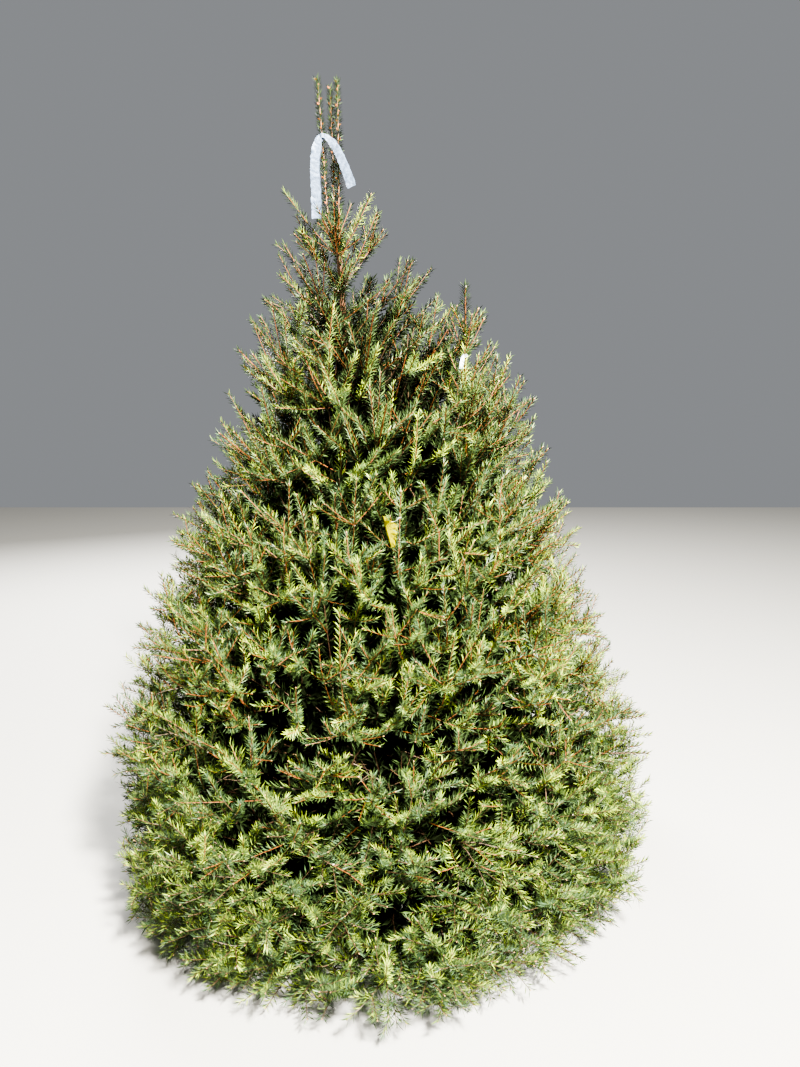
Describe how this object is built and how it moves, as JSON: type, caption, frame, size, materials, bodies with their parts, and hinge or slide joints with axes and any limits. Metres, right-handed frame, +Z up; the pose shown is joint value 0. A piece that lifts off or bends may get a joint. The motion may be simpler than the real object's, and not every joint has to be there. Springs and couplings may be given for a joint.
{
  "type": "spruce tree",
  "caption": "Young sheared spruce, a full cone of needle sprays on whorled boughs round a tapering, flared trunk, with a forked leader at the top and an upright side leader.",
  "frame": {"origin": "middle of the trunk's flat cut at ground level", "axes": "+Z up along the trunk, -Y towards the viewer of the picture, +X to the viewer's right"},
  "size_m": [1.862, 1.8261, 2.6],
  "materials": {
    "trunk_bark": "rough scaly bark, matt",
    "bough_bark": "fine ridged bark, matt",
    "needles": "waxy needles, satin"
  },
  "bodies": {
    "root": {"trunk": "trunk_bark", "bough_second_leader": "bough_bark", "bough_w1_a": "bough_bark", "bough_w1_b": "bough_bark", "bough_w1_c": "bough_bark", "bough_w1_d": "bough_bark", "bough_w1_e": "bough_bark", "bough_w2_a": "bough_bark", "bough_w2_b": "bough_bark", "bough_w2_c": "bough_bark", "bough_w2_d": "bough_bark", "bough_w2_e": "bough_bark", "bough_w3_a": "bough_bark", "bough_w3_b": "bough_bark", "bough_w3_c": "bough_bark", "bough_w3_d": "bough_bark", "bough_w3_e": "bough_bark", "bough_w4_a": "bough_bark", "bough_w4_b": "bough_bark", "bough_w4_c": "bough_bark", "bough_w4_d": "bough_bark", "bough_w4_e": "bough_bark", "foliage_leader": "needles", "foliage_second_leader": "needles", "foliage_w1_a": "needles", "foliage_w1_b": "needles", "foliage_w1_c": "needles", "foliage_w1_d": "needles", "foliage_w1_e": "needles", "foliage_w2_a": "needles", "foliage_w2_b": "needles", "foliage_w2_c": "needles", "foliage_w2_d": "needles", "foliage_w2_e": "needles", "foliage_w3_a": "needles", "foliage_w3_b": "needles", "foliage_w3_c": "needles", "foliage_w3_d": "needles", "foliage_w3_e": "needles", "foliage_w4_a": "needles", "foliage_w4_b": "needles", "foliage_w4_c": "needles", "foliage_w4_d": "needles", "foliage_w4_e": "needles", "foliage_w5_a": "needles", "foliage_w5_b": "needles", "foliage_w5_c": "needles", "foliage_w5_d": "needles", "foliage_w5_e": "needles", "foliage_w6_a": "needles", "foliage_w6_b": "needles", "foliage_w6_c": "needles", "foliage_w6_d": "needles", "foliage_w6_e": "needles", "foliage_w7_a": "needles", "foliage_w7_b": "needles", "foliage_w7_c": "needles", "foliage_w8_a": "needles", "foliage_w8_b": "needles", "foliage_w8_c": "needles"}
  },
  "joints": []
}
